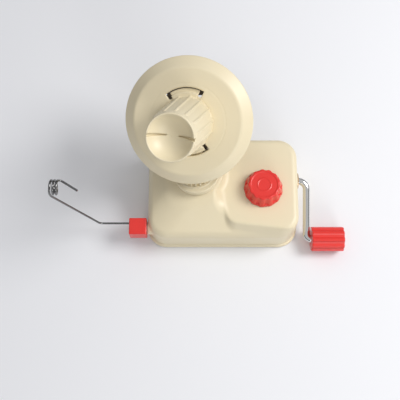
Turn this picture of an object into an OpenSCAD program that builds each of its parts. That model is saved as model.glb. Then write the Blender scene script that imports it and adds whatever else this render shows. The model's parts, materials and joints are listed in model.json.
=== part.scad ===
// Hand-cranked yarn winder, in millimetres.
// X runs along the crank shaft, +Y is the back, +Z is up. The origin is the
// centre of the underside. The turning head stands on a leaning axis, and
// the spool on a second axis that crosses it halfway up the spool.

/* [Body] */
// Width of the body
body_w = 126; // [124:1:130]
// Depth of the body, front to back
body_d = 84; // [82:1:88]
// Height of the flat top of the body
body_h = 42; // [41:0.5:44]
// Radius of the upright corners
corner_r = 16; // [12:1:18]
// Wall of the moulded shells
wall = 2.4; // [2:0.1:3]

/* [Crank] */
// Distance of the crank shaft behind the centre
shaft_y = 9; // [8:0.5:10]
// Height of the crank shaft
shaft_z = 25; // [24.5:0.1:25.5]
// Diameter of the bent crank rod
rod_d = 6; // [5:0.5:6]
// Throw of the crank, shaft to grip
crank_throw = 49; // [40:1:52]
// Angle of the crank arm below the horizontal at rest
crank_drop = 17.2; // [0:0.1:17.3]
// Diameter of the grip
grip_d = 20.8; // [18:0.2:20.8]
// Length of the grip
grip_len = 27; // [25:1:40]

/* [Head] */
// Lean of the head axis to the left
head_lean = 10; // [9:0.5:10]
// Angle between the head axis and the spool axis
spool_tilt = 31; // [30:0.5:31]
// Distance from the crank shaft to the crossing of the two axes
apex_h = 112; // [112:1:116]
// Radius of the collar
collar_r = 20; // [19:0.5:21]

/* [Spool] */
// Radius of the flange at its outer edge
flange_r = 50.4; // [48:0.2:51]
// Radius of the flat middle of the flange
plateau_r = 42.3; // [41:0.1:43]
// Drop of the flange's sloping rim
rim_drop = 6.2; // [5:0.1:6.2]
// Length of the spool above the flange
spool_len = 72; // [60:1:80]
// Radius of the spool at the flange
spool_r = 20; // [19:0.5:20]
// Radius of the spool at its free end
spool_end_r = 17.3; // [16:0.1:18]
// Number of ribs on the spool
rib_count = 14; // [8:1:16]

/* [Clamp] */
// Distance of the clamp screw to the right of the centre
clamp_x = 33; // [32:0.5:34]
// Distance of the clamp screw from the centre, front to back
clamp_y = -3.2; // [-4:0.1:-3]
// Radius of the clamp knob
knob_r = 16; // [14:0.5:16]

/* [Yarn guide] */
// Width of the square guide block
block_w = 14; // [12:0.5:14]
// Height of the guide coil above the ground
coil_z = 104; // [95:1:108]
// Diameter of the guide wire
wire_d = 1.7; // [1.6:0.1:2]

/* [Hidden] */
$fn = 64;
gap = 0.05;                              // radial clearance of a running fit
shaft_x = -16.5;                         // where the crank and head axes cross
rod_r = rod_d / 2;
spindle_r = 3;                           // head shaft and spool spindle
collar_base = 24;                        // along the head axis from the crossing
collar_top = 31;
flange_at = -48;                         // along the spool axis from the apex
spool_taper = atan((spool_r - spool_end_r) / spool_len);
dish_r = 17;                             // hollow in the spool's free end
base_t = 4;                              // base plate
shell_foot = 0.5;                        // underside of the top housing
boss_x = 52;
boss_y = 30;
arm_x = 71.2;
bend_top = 7;
bend_low = 4;
grip_x = arm_x + bend_low + 0.1;
jaw_w = 16;
jaw_t = 3;
jaw_front = -22;
jaw_back = 22;
jaw_low = 0.6;
tab_z = 32.5;
pit_h = 4.7;                             // recess for the retracted jaw
guide_y = -30.7;
guide_z = 20;
block_x = -body_w / 2 - 1.1;             // face of the block beside the body
wire_y = -27.2;
stage_y = -34.7;                          // front edge of the flat stage
stage_skew = 6.7;
coil_start = -129.6;                     // left end of the coil
coil_r = 5.2;
// Bevel gears: [teeth, pitch cone, outer cone distance, inner cone distance]
crank_teeth = 36;
pinion_teeth = 16;
sun_teeth = 24;
planet_teeth = 48;
function pitch_cone(own, other, angle) = atan(sin(angle) / (other / own + cos(angle)));
crank_cone = pitch_cone(crank_teeth, pinion_teeth, 90 + head_lean);
pinion_cone = 90 + head_lean - crank_cone;
sun_cone = pitch_cone(sun_teeth, planet_teeth, spool_tilt);
planet_cone = spool_tilt - sun_cone;
drive_far = 19;
drive_near = 14.5;
walk_far = 81;
walk_near = 77.5;

// ---- frames -------------------------------------------------------------

// Z runs up the head axis from the crossing with the crank shaft.
module on_head() translate([shaft_x, shaft_y, shaft_z]) rotate([0, -head_lean, 0]) children();

// Z runs up the spool axis from the point where it crosses the head axis.
module on_spool() on_head() translate([0, 0, apex_h]) rotate([spool_tilt, 0, 0]) children();

// Z runs along +X on the crank shaft.
module on_shaft(x) translate([x, shaft_y, shaft_z]) rotate([0, 90, 0]) children();

// Z runs along +X on the axis of the grip.
module on_grip(x) translate([x, shaft_y - crank_throw * cos(crank_drop),
    shaft_z - crank_throw * sin(crank_drop)]) rotate([0, 90, 0]) children();

// ---- shared shapes ------------------------------------------------------

module rounded_plate(w, d, r, h) linear_extrude(h) union() {
    square([w - 2 * r, d], center = true);
    square([w, d - 2 * r], center = true);
    for (x = [-1, 1], y = [-1, 1]) translate([x * (w / 2 - r), y * (d / 2 - r)]) circle(r);
}

module tube(r_out, r_in, h) difference() {
    cylinder(r = r_out, h = h);
    translate([0, 0, -1]) cylinder(r = r_in, h = h + 2);
}

module flanged_bush(r, r_in, h, flange_r, flange_h) difference() {
    union() {
        cylinder(r = r, h = h);
        translate([0, 0, h]) cylinder(r = flange_r, h = flange_h);
    }
    translate([0, 0, -1]) cylinder(r = r_in, h = h + flange_h + 2);
}

// One bevel tooth on a cone whose tip is the origin, pointing along X.
module bevel_tooth(cone, far, near, root, tip, root_w, tip_w) {
    function corner(dist, polar, w) = [dist * sin(polar), w * dist / far, dist * cos(polar)];
    points = [for (dist = [far, near]) each [
        corner(dist, cone - root, -root_w), corner(dist, cone - root, root_w),
        corner(dist, cone + tip, tip_w), corner(dist, cone + tip, -tip_w)]];
    polyhedron(points, [[0, 1, 2, 3], [7, 6, 5, 4], [4, 5, 1, 0], [5, 6, 2, 1],
        [6, 7, 3, 2], [7, 4, 0, 3]]);
}

// A ring of bevel teeth with the solid cone beneath them. Z runs from the
// tip of the pitch cone to the gear, and turn is the angle of the first tooth.
module bevel_ring(teeth, cone, far, near, turn) {
    pitch = 2 * PI * far * sin(cone) / teeth;
    root = 0.32 * pitch / far * 180 / PI;
    tip = 0.22 * pitch / far * 180 / PI;
    body = cone - root + 0.05 * root;
    for (i = [0 : teeth - 1]) rotate([0, 0, turn + i * 360 / teeth])
        bevel_tooth(cone, far, near, root, tip, 0.27 * pitch, 0.12 * pitch);
    translate([0, 0, near * cos(body)]) cylinder(r1 = near * sin(body), r2 = far * sin(body),
        h = (far - near) * cos(body));
}

// ---- body ---------------------------------------------------------------

// What is cut away in front of the flat stage that carries the knob.
module front_slope(inset) translate([34, stage_y + inset, -inset]) rotate([0, 0, -stage_skew])
    rotate([90, 0, 90]) translate([0, 0, -60]) linear_extrude(120)
        polygon([[0, body_h + 5], [0, body_h], [-3.6, body_h - 8.4], [-14, body_h - 14.7],
            [-14, body_h + 5]]);

// Outside of the housing, shrunk by inset on every wall.
module housing_form(inset) {
    w = body_w - 2 * inset;
    d = body_d - 2 * inset;
    top = body_h - inset;
    difference() {
        hull() {
            translate([0, 0, shell_foot - inset]) rounded_plate(w, d, corner_r - inset, 1);
            translate([0, 0, top - 12]) rounded_plate(w - 0.4, d - 0.4, corner_r - inset, 1);
            translate([0, 0, top - 5]) rounded_plate(w - 4.5, d - 4.5, corner_r - inset - 2, 1);
            translate([0, 0, top - 1]) rounded_plate(w - 14, d - 14, corner_r - inset - 5, 1);
        }
        front_slope(inset);
    }
    hull() {
        translate([-31, 0, body_h - 15 - inset]) rounded_plate(63.5 - 2 * inset,
            d - 0.6, corner_r - inset - 2, 1);
        on_head() translate([0, 0, collar_base - 1 - inset])
            cylinder(r = collar_r + 1.5 - inset, h = 1);
    }
}

module top_housing() color("wheat") difference() {
    union() {
        difference() {
            housing_form(0);
            housing_form(wall);
            translate([0, 0, -9]) cube([200, 200, 2 * (9 + shell_foot)], center = true);
        }
        for (x = [-1, 1], y = [-1, 1]) translate([x * boss_x, y * boss_y, base_t + gap])
            cylinder(r = 4, h = 33.9);
        on_head() translate([0, 0, 19]) cylinder(r = 8, h = collar_base - 19.5);
        translate([clamp_x, clamp_y, 37.5]) cylinder(r = 8, h = body_h - 38);
        on_shaft(55) cylinder(r = 8, h = 7);
        translate([-body_w / 2 + 1, guide_y, guide_z]) rotate([0, 90, 0]) cylinder(r = 5, h = 5);
    }
    for (x = [-1, 1], y = [-1, 1]) translate([x * boss_x, y * boss_y, 0]) cylinder(r = 1.5, h = 14);
    on_head() translate([0, 0, 10]) cylinder(r = 6, h = 20);
    translate([clamp_x, clamp_y, 30]) cylinder(r = 4 + gap, h = 20);
    on_shaft(50) cylinder(r = 5, h = 20);
    translate([-body_w / 2 - 2, guide_y, guide_z]) rotate([0, 90, 0]) cylinder(r = 2, h = 12);
}

module base_plate() color("wheat") difference() {
    union() {
        rounded_plate(body_w - 2 * wall - 0.4, body_d - 2 * wall - 0.4, corner_r - wall, base_t);
        translate([clamp_x - 11, jaw_front - 3, 0]) cube([22, jaw_back - jaw_front + 6, 7]);
        translate([2, shaft_y - 7, 1]) cube([6, 14, shaft_z]);
        on_shaft(2) cylinder(r = 8, h = 6);
    }
    translate([clamp_x - jaw_w / 2 - 0.5, jaw_front - 0.5, -1])
        cube([jaw_w + 1, jaw_back - jaw_front + 1, pit_h + 1]);
    translate([clamp_x - jaw_w / 2 - 0.5, jaw_front - 0.5, 0]) cube([jaw_w + 1, jaw_t + 1, 10]);
    translate([clamp_x, clamp_y, 4]) cylinder(r = 3 + gap, h = 10);
    on_shaft(0) cylinder(r = 5, h = 20);
    for (x = [-1, 1], y = [-1, 1]) translate([x * boss_x, y * boss_y, -1]) {
        cylinder(r = 1.5, h = 10);
        cylinder(r = 3.2, h = 3.2);
    }
    for (x = [-1, 1], y = [-1, 1]) translate([x * 53, y * 13, -1]) cylinder(r = 6, h = 2.2);
}

module rubber_pads() color("dimgray")
    for (x = [-1, 1], y = [-1, 1]) translate([x * 53, y * 13, 0]) cylinder(r = 5.9, h = 1.2);

module housing_screws() color("silver")
    for (x = [-1, 1], y = [-1, 1]) translate([x * boss_x, y * boss_y, 0.4]) difference() {
        union() {
            cylinder(r = 3, h = 1.8);
            cylinder(r = 1.5, h = 12);
        }
        translate([0, 0, -1]) cylinder(r = 1.4, h = 2, $fn = 6);
    }

module outer_shaft_bush() color("goldenrod")
    on_shaft(56) flanged_bush(5, rod_r + gap, body_w / 2 - 56, 6.6, 0.9);

module inner_shaft_bush() color("goldenrod")
    on_shaft(1.5) flanged_bush(5, rod_r + gap, 6.5, 6.6, 0.9);

module lower_neck_bush() color("goldenrod") on_head() translate([0, 0, collar_base])
    rotate([180, 0, 0]) flanged_bush(6, spindle_r + gap, 5, 7.5, 0.9);

module upper_neck_bush() color("goldenrod")
    on_head() translate([0, 0, 26]) tube(6, spindle_r + gap, 10.5);

// Fixed collar on the housing, with the gear that the spool's gear walks around.
module collar_gear() color("wheat") on_head() difference() {
    union() {
        translate([0, 0, collar_base]) cylinder(r = collar_r, h = collar_top - collar_base - 1.5);
        translate([0, 0, collar_top - 1.5]) cylinder(r1 = collar_r, r2 = collar_r - 1.5, h = 1.5);
        translate([0, 0, collar_base]) cylinder(r = 12.5, h = 9);
        translate([0, 0, apex_h]) rotate([180, 0, 0])
            bevel_ring(sun_teeth, sun_cone, walk_far, walk_near, 90);
    }
    translate([0, 0, collar_base - 1]) cylinder(r = 6, h = 20);
}

module guide_pivot() color("dimgray")
    translate([block_x - 9, guide_y, guide_z]) rotate([0, 90, 0]) cylinder(r = 2, h = 16);

module guide_washer() color("dimgray")
    translate([-body_w / 2 - 1, guide_y, guide_z]) rotate([0, 90, 0]) tube(4.5, 2, 0.95);

// ---- crank --------------------------------------------------------------

module crank_rod() color("silver") union() {
    on_shaft(shaft_x + 4) cylinder(r = rod_r, h = arm_x - bend_top - shaft_x - 4);
    translate([0, shaft_y, shaft_z]) rotate([crank_drop, 0, 0]) {
        translate([arm_x - bend_top, -bend_top, 0]) rotate_extrude(angle = 90)
            translate([bend_top, 0]) circle(rod_r);
        translate([arm_x, -bend_top, 0]) rotate([90, 0, 0])
            cylinder(r = rod_r, h = crank_throw - bend_top - bend_low);
        translate([arm_x + bend_low, -crank_throw + bend_low, 0]) rotate([0, 0, 180])
            rotate_extrude(angle = 90) translate([bend_low, 0]) circle(rod_r);
        translate([arm_x + bend_low, -crank_throw, 0]) rotate([0, 90, 0])
            cylinder(r = rod_r, h = grip_len - 2);
    }
}

module crank_gear() color("ivory") on_shaft(shaft_x) difference() {
    union() {
        bevel_ring(crank_teeth, crank_cone, drive_far, drive_near, 180);
        translate([0, 0, 5]) cylinder(r = drive_near, h = 3);
        translate([0, 0, 6.3]) cylinder(r = 18, h = 3);
        translate([0, 0, 9]) cylinder(r = 7, h = 7);
    }
    translate([0, 0, -1]) cylinder(r = rod_r, h = 30);
}

module shaft_collar() color("silver") on_shaft(9.2) tube(6, rod_r, 5);

module grip_cap() color("silver") on_grip(grip_x + grip_len - 3.6) difference() {
    cylinder(r = 5, h = 2.6);
    translate([0, 0, -1]) cylinder(r = rod_r, h = 2.6);
}

module handle_grip() color("red") on_grip(grip_x) difference() {
    union() {
        cylinder(r1 = grip_d / 2 - 0.8, r2 = grip_d / 2, h = 0.8);
        translate([0, 0, 0.8]) cylinder(r = grip_d / 2, h = grip_len - 1.6);
        translate([0, 0, grip_len - 0.8]) cylinder(r1 = grip_d / 2, r2 = grip_d / 2 - 0.8, h = 0.8);
    }
    translate([0, 0, -1]) cylinder(r = rod_r + gap, h = grip_len + 2);
    translate([0, 0, grip_len - 3.9]) cylinder(r = 5.3, h = 5);
    for (i = [0 : 9]) rotate([0, 0, i * 36 + 18]) translate([grip_d / 2 + 1.2, 0, -1])
        cylinder(r = 2.2, h = grip_len + 2, $fn = 24);
}

// ---- turning head -------------------------------------------------------

module head_shaft() color("silver") on_head() translate([0, 0, 12]) cylinder(r = spindle_r, h = 30);

module head_pinion() color("ivory") on_head() difference() {
    union() {
        bevel_ring(pinion_teeth, pinion_cone, drive_far, drive_near, 180 / pinion_teeth);
        translate([0, 0, 13.2]) cylinder(r = 5, h = 4.6);
    }
    cylinder(r = spindle_r, h = 30);
}

module thrust_washer() color("silver") on_head() translate([0, 0, 36.6]) tube(7, spindle_r, 0.9);

module head_arm() color("wheat") difference() {
    hull() {
        on_head() translate([0, 0, 37.5]) cylinder(r = 7, h = 4.4, $fn = 32);
        on_spool() translate([0, 0, -69]) cylinder(r = 8, h = 12.8, $fn = 32);
    }
    on_head() translate([0, 0, 30]) cylinder(r = spindle_r, h = 30);
    on_spool() translate([0, 0, -80]) cylinder(r = 5, h = 40);
}

module spindle_bush() color("goldenrod")
    on_spool() translate([0, 0, -69]) flanged_bush(5, spindle_r + gap, 12.8, 6.6, 0.9);

// ---- spool --------------------------------------------------------------

module spool_spindle() color("silver") on_spool() translate([0, 0, -77.5])
    cylinder(r = spindle_r, h = 58);

module planet_gear() color("ivory") on_spool() rotate([180, 0, 0]) difference() {
    union() {
        bevel_ring(planet_teeth, planet_cone, walk_far, walk_near, -90 + 180 / planet_teeth);
        translate([0, 0, 70]) cylinder(r = 7, h = 7);
    }
    cylinder(r = spindle_r, h = 90);
    translate([0, 0, 60]) difference() {
        cylinder(r = 22, h = 14.2);
        cylinder(r = 7, h = 20);
    }
}

module flange_disc() color("wheat") on_spool() translate([0, 0, flange_at]) difference() {
    union() {
        rotate_extrude() polygon([[0, -2], [plateau_r - 1, -2], [flange_r - 1.2, -rim_drop - 0.9],
            [flange_r, -rim_drop - 0.9], [flange_r, -rim_drop], [plateau_r, 0], [0, 0]]);
        translate([0, 0, -7]) cylinder(r = 7, h = 6);
    }
    translate([0, 0, -10]) cylinder(r = spindle_r, h = 20);
    for (side = [0, 180]) rotate([0, 0, side]) translate([0, 0, -5]) rotate([0, 0, 56])
        rotate_extrude(angle = 68) translate([21.5, 0]) square([5.3, 8]);
}

module winding_spool() color("wheat") on_spool() translate([0, 0, flange_at]) union() {
    difference() {
        union() {
            cylinder(r1 = spool_r, r2 = spool_end_r, h = spool_len);
            for (i = [0 : rib_count - 1]) rotate([0, 0, i * 360 / rib_count])
                translate([spool_r - 0.6, -0.6, 0]) rotate([0, -spool_taper, 0])
                    cube([1.2, 1.2, spool_len - 8]);
        }
        difference() {
            translate([0, 0, -1]) cylinder(r1 = spool_r - 2, r2 = spool_end_r - 2.2, h = spool_len - 12);
            cylinder(r = 7, h = spool_len);
        }
        translate([0, 0, -1]) cylinder(r = spindle_r, h = 30);
        translate([0, 0, spool_len + 9]) sphere(r = dish_r);
        translate([-spool_end_r - 3, -0.6, spool_len - 3]) cube([2 * spool_end_r + 6, 1.2, 5]);
    }
    // Two hooks reach through the windows of the flange.
    for (side = [0, 180]) rotate([0, 0, side + 63]) rotate_extrude(angle = 54) {
        translate([19, 0.02]) square([4.2, 1]);
        translate([21.8, -3.8]) square([1.4, 4.4]);
        translate([21.8, -3.8]) square([4.1, 1.2]);
    }
}

// ---- clamp --------------------------------------------------------------

module clamp_knob() color("red") translate([clamp_x, clamp_y, body_h + 0.6]) difference() {
    union() {
        cylinder(r1 = knob_r, r2 = knob_r - 2.6, h = 10);
        translate([0, 0, 10]) cylinder(r1 = knob_r - 2.6, r2 = knob_r - 3.8, h = 1.2);
    }
    translate([0, 0, -1]) cylinder(r = 4, h = 9);
    for (i = [0 : 12]) rotate([0, 0, i * 360 / 13]) translate([knob_r + 1, 0, -1])
        rotate([0, -12, 0]) cylinder(r = 2.4, h = 11, $fn = 24);
    translate([0, 0, 10.6]) tube(11, 9.6, 2);
}

module clamp_screw() color("silver") translate([clamp_x, clamp_y, 4.8]) {
    cylinder(r = 3, h = 4);
    translate([0, 0, 2.5]) cylinder(r = 4, h = body_h + 0.6 + 8 - 7.3);
}

module screw_clip() color("silver") translate([clamp_x, clamp_y, 36.3]) tube(6.5, 4, 1);

module clamp_bracket() color("silver") difference() {
    translate([clamp_x - jaw_w / 2, jaw_front, jaw_low]) union() {
        cube([jaw_w, jaw_back - jaw_front, jaw_t]);
        cube([jaw_w, jaw_t, tab_z + jaw_t - jaw_low]);
        translate([0, 0, tab_z - jaw_low]) cube([jaw_w, clamp_y - jaw_front + 7, jaw_t]);
    }
    translate([clamp_x, clamp_y, tab_z - 1]) cylinder(r = 4 + gap, h = 10);
}

module jaw_pad() color("dimgray") translate([clamp_x - 7, jaw_back - 20, jaw_low + jaw_t])
    cube([14, 19, 0.8]);

// ---- yarn guide ---------------------------------------------------------

module guide_block() color("red") difference() {
    translate([block_x - block_w, guide_y - block_w / 2, guide_z - block_w / 2]) hull() {
        translate([0.8, 0.8, 0]) cube([block_w - 1.6, block_w - 1.6, block_w]);
        translate([0, 0.8, 0.8]) cube([block_w, block_w - 1.6, block_w - 1.6]);
        translate([0.8, 0, 0.8]) cube([block_w - 1.6, block_w, block_w - 1.6]);
    }
    translate([block_x - 9.2, guide_y, guide_z]) rotate([0, 90, 0]) cylinder(r = 2 + gap, h = 12);
    translate([block_x - 20, wire_y, guide_z + 2]) rotate([0, 90, 0]) cylinder(r = wire_d / 2, h = 9);
}

// Points of the wire: out of the block, up to the coil, round it and out
// again as the short hook that the yarn is slipped over.
turns = 2.4;
steps = 20;
coil_pitch = wire_d + 0.7;
coil_y = wire_y + coil_r;
wire_route = concat(
    [[block_x - 12, wire_y, guide_z + 2], [block_x - 14, wire_y, guide_z + 2],
     [-98, wire_y, guide_z + 2], [-101.5, wire_y, guide_z + 3],
     [-104, wire_y, guide_z + 7], [coil_start, wire_y, coil_z - 5]],
    [for (i = [0 : turns * steps]) let (a = i * 360 / steps)
        [coil_start + i / steps * coil_pitch, coil_y - coil_r * cos(a), coil_z + coil_r * sin(a)]],
    [[coil_start + 8, coil_y + coil_r - 0.6, coil_z + 1.4],
     [coil_start + 10, coil_y + coil_r - 1.6, coil_z + 1],
     [coil_start + 20.5, coil_y - 3, coil_z + 1]]);

function unit(v) = v / norm(v);
function along(path, i) = unit(path[min(i + 1, len(path) - 1)] - path[max(i - 1, 0)]);
function square_to(v, t) = unit(v - (v * t) * t);
function carried(path, n) = n == 0 ? square_to([0, 0, 1], along(path, 0))
    : square_to(carried(path, n - 1), along(path, n));

module wire_tube(path, r, sides) {
    rings = len(path);
    points = [for (i = [0 : rings - 1]) let (t = along(path, i), u = carried(path, i), v = cross(t, u))
        for (k = [0 : sides - 1]) path[i] + r * (cos(k * 360 / sides) * u + sin(k * 360 / sides) * v)];
    faces = concat(
        [[for (k = [0 : sides - 1]) k]],
        [for (i = [0 : rings - 2], k = [0 : sides - 1])
            [i * sides + k, (i + 1) * sides + k, (i + 1) * sides + (k + 1) % sides,
             i * sides + (k + 1) % sides]],
        [[for (k = [sides - 1 : -1 : 0]) (rings - 1) * sides + k]]);
    polyhedron(points, faces, convexity = 10);
}

module guide_wire() color("silver") wire_tube(wire_route, wire_d / 2, 8);

top_housing();
base_plate();
rubber_pads();
housing_screws();
outer_shaft_bush();
inner_shaft_bush();
lower_neck_bush();
upper_neck_bush();
collar_gear();
guide_pivot();
guide_washer();
crank_rod();
crank_gear();
shaft_collar();
grip_cap();
handle_grip();
head_shaft();
head_pinion();
thrust_washer();
head_arm();
spindle_bush();
spool_spindle();
planet_gear();
flange_disc();
winding_spool();
clamp_knob();
clamp_screw();
screw_clip();
clamp_bracket();
jaw_pad();
guide_block();
guide_wire();
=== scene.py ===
"""Hand-cranked yarn winder: moulded cream body, flange and spool, red knob, grip and
guide block, plated crank rod and steel wire guide, on a plain pale floor."""
import json
import math

import bpy
import numpy as np
from mathutils import Matrix, Vector


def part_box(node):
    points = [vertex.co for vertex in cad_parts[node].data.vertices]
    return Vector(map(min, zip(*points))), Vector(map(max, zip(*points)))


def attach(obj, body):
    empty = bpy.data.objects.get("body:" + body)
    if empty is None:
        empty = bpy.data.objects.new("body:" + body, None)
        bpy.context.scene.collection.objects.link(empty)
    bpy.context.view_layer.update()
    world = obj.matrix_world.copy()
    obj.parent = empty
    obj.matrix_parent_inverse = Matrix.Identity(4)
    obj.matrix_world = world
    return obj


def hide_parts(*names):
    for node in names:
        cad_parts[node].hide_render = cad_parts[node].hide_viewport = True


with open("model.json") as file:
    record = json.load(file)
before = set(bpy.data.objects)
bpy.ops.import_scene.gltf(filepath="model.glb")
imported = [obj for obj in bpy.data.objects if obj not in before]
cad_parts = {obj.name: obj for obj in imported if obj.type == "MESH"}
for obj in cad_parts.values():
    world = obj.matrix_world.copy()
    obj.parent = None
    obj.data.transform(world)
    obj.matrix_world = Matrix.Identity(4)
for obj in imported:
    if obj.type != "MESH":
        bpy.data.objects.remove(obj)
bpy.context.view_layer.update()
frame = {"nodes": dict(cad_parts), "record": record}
MM = 0.001

# ---- places taken from the frame, in millimetres -------------------------------------

joints = {joint["name"]: joint for joint in frame["record"]["behaviour"]["joints"]}


def joint_place(name):
    """A point on the axis of a joint."""
    return Vector(joints[name]["pos_m"]) / MM


def axis_frame(origin, z_axis, x_axis):
    """Matrix whose Z is z_axis and whose X is x_axis, standing at origin."""
    z_axis = Vector(z_axis).normalized()
    y_axis = z_axis.cross(Vector(x_axis)).normalized()
    x_axis = y_axis.cross(z_axis)
    turned = Matrix((x_axis, y_axis, z_axis)).transposed().to_4x4()
    return Matrix.Translation(origin) @ turned


HEAD_AXIS = Vector(joints["head_turn"]["axis"]).normalized()
HEAD_SIDE = Vector((0, 1, 0)).cross(HEAD_AXIS).normalized()
SHAFT = joint_place("crank_turn")
APEX = joint_place("spool_turn")
APEX_H = (APEX - SHAFT).length
IN_BODY = Matrix.Identity(4)
ON_HEAD = axis_frame(SHAFT, HEAD_AXIS, HEAD_SIDE)
ON_SPOOL = axis_frame(APEX, joints["spool_turn"]["axis"], HEAD_SIDE)
TILT = math.degrees(HEAD_AXIS.angle(Vector(joints["spool_turn"]["axis"])))
GRIP_AXIS = joint_place("grip_spin")
KNOB_AXIS = joint_place("knob_turn")
GUIDE_AXIS = joint_place("guide_swing")


def cad_mm(node):
    """Lowest and highest corner of a CAD piece."""
    low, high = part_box(node)
    return Vector(low) / MM, Vector(high) / MM


# ---- distance forms: negative inside, in millimetres ---------------------------------


def length(*parts):
    """Distance from zero of a place given by its parts."""
    return np.sqrt(sum(part * part for part in parts))


def round_cut(a, b, r):
    """Common part of two forms, with an outer edge of radius r."""
    return np.minimum(-r, np.maximum(a, b)) + length(np.maximum(a + r, 0), np.maximum(b + r, 0))


def round_join(a, b, r):
    """Union of two forms, with a fillet of radius r where they meet."""
    return np.maximum(r, np.minimum(a, b)) - length(np.maximum(r - a, 0), np.maximum(r - b, 0))


def round_off(a, b, r):
    """Form a with form b taken away, and the edge rounded to radius r."""
    return round_cut(a, -b, r)


def rod(u, v, r):
    """Endless round bar through u = v = 0."""
    return length(u, v) - r


def slab(t, low, high):
    """Everything between two heights."""
    return np.maximum(low - t, t - high)


def rounded_rect(x, y, half_x, half_y, r):
    """Endless upright bar with a rectangular outline and round corners."""
    qx = np.abs(x) - half_x + r
    qy = np.abs(y) - half_y + r
    return length(np.maximum(qx, 0), np.maximum(qy, 0)) + np.minimum(np.maximum(qx, qy), 0) - r


def block(x, y, z, half, r):
    """Box about the origin with round edges."""
    q = [np.abs(t) - h + r for t, h in zip((x, y, z), half)]
    outside = length(*[np.maximum(t, 0) for t in q])
    return outside + np.minimum(np.maximum(np.maximum(q[0], q[1]), q[2]), 0) - r


def plane(x, y, z, through, normal):
    """Everything behind a plane through a point."""
    n = Vector(normal).normalized()
    return (x - through[0]) * n.x + (y - through[1]) * n.y + (z - through[2]) * n.z


def fold(angle, count):
    """Angle measured from the middle of the nearest of count equal sectors."""
    step = 2 * math.pi / count
    return (angle + step / 2) % step - step / 2


def into(matrix, x, y, z):
    """World coordinates seen from a frame."""
    m = np.array(matrix.inverted())
    return tuple(m[i, 0] * x + m[i, 1] * y + m[i, 2] * z + m[i, 3] for i in range(3))


# ---- from a form to a mesh -----------------------------------------------------------


MARGIN = 0.6


def net(values, low, cell):
    """One vertex in each cell that the surface crosses, and one quad on each crossed edge."""
    inside = values < 0
    size = np.array(values.shape)
    count = sum(
        inside[i : size[0] - 1 + i, j : size[1] - 1 + j, k : size[2] - 1 + k].astype(np.int8)
        for i in (0, 1) for j in (0, 1) for k in (0, 1))
    crossed = (count > 0) & (count < 8)
    number = np.full(crossed.shape, -1, dtype=np.int64)
    cells = np.argwhere(crossed)
    number[crossed] = np.arange(len(cells))
    total = np.zeros((len(cells), 3))
    hits = np.zeros(len(cells))
    quads = []
    for axis in range(3):
        along = np.eye(3, dtype=np.int64)[axis]
        side_u = np.eye(3, dtype=np.int64)[(axis + 1) % 3]
        side_v = np.eye(3, dtype=np.int64)[(axis + 2) % 3]
        for corner in (0 * along, side_u, side_v, side_u + side_v):
            start = cells + corner
            a = values[tuple(start.T)]
            b = values[tuple((start + along).T)]
            cut = (a < 0) != (b < 0)
            share = a[cut] / (a[cut] - b[cut])
            total[cut] += start[cut] + share[:, None] * along
            hits[cut] += 1
        lower = np.take(inside, range(size[axis] - 1), axis=axis)
        upper = np.take(inside, range(1, size[axis]), axis=axis)
        edges = np.argwhere(lower != upper)
        sides = [(axis + 1) % 3, (axis + 2) % 3]
        keep = (edges[:, sides] > 0) & (edges[:, sides] < size[sides] - 1)
        edges = edges[np.all(keep, axis=1)]
        ring = [number[tuple((edges - shift).T)]
                for shift in (0 * along, side_u, side_u + side_v, side_v)]
        ring = np.stack(ring, axis=1)
        outward = lower[tuple(edges.T)]
        ring[~outward] = ring[~outward][:, ::-1]
        quads.append(ring)
    return low + cell * total / hits[:, None], np.concatenate(quads)


def settle(points, form, cell, rounds=4):
    """Moves the vertices onto the exact surface of the form."""
    reach = 0.02
    for _ in range(rounds):
        value = form(*points.T)
        slope = np.stack([
            (form(*(points + reach * unit).T) - form(*(points - reach * unit).T)) / (2 * reach)
            for unit in np.eye(3)], axis=1)
        steep = np.maximum((slope * slope).sum(axis=1), 0.1)
        step = np.clip(value / steep, -cell / 2, cell / 2)
        points = points - slope * step[:, None]
    return points


def mesh_object(name, points, faces, material):
    """New smooth object from points in metres."""
    mesh = bpy.data.meshes.new(name)
    mesh.from_pydata(points.tolist(), [], faces.tolist())
    mesh.polygons.foreach_set("use_smooth", [True] * len(mesh.polygons))
    mesh.materials.append(material)
    mesh.update()
    piece = bpy.data.objects.new(name, mesh)
    bpy.context.collection.objects.link(piece)
    return piece


def mould(name, form, low, high, cell, place, material):
    """Meshes a form between two corners of its own frame, and puts it in its place."""
    low = np.array(low, dtype=float) - 1.5 * cell
    high = np.array(high, dtype=float) + 1.5 * cell
    ticks = [np.arange(a, b + cell, cell) for a, b in zip(low, high)]
    grid = np.meshgrid(*ticks, indexing="ij")
    points, faces = net(form(*grid), low, cell)
    points = settle(points, form, cell)
    m = np.array(place)
    world = (points @ m[:3, :3].T + m[:3, 3]) * MM
    return mesh_object(name, world, faces, material)


def finished(piece, body, slot, *nodes):
    """Fixes a piece to its body and hides the CAD pieces it replaces; its finish name is not used.
    """
    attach(piece, body)
    if nodes:
        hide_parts(*nodes)
    return piece


# ---- materials -----------------------------------------------------------------------


def new_node(tree, kind, x, y, **values):
    """Adds a node, with values for its sockets or else for its settings."""
    node = tree.nodes.new(kind)
    node.location = (x, y)
    for key, value in values.items():
        if key in node.inputs:
            node.inputs[key].default_value = value
        else:
            setattr(node, key.lower(), value)
    return node


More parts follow.
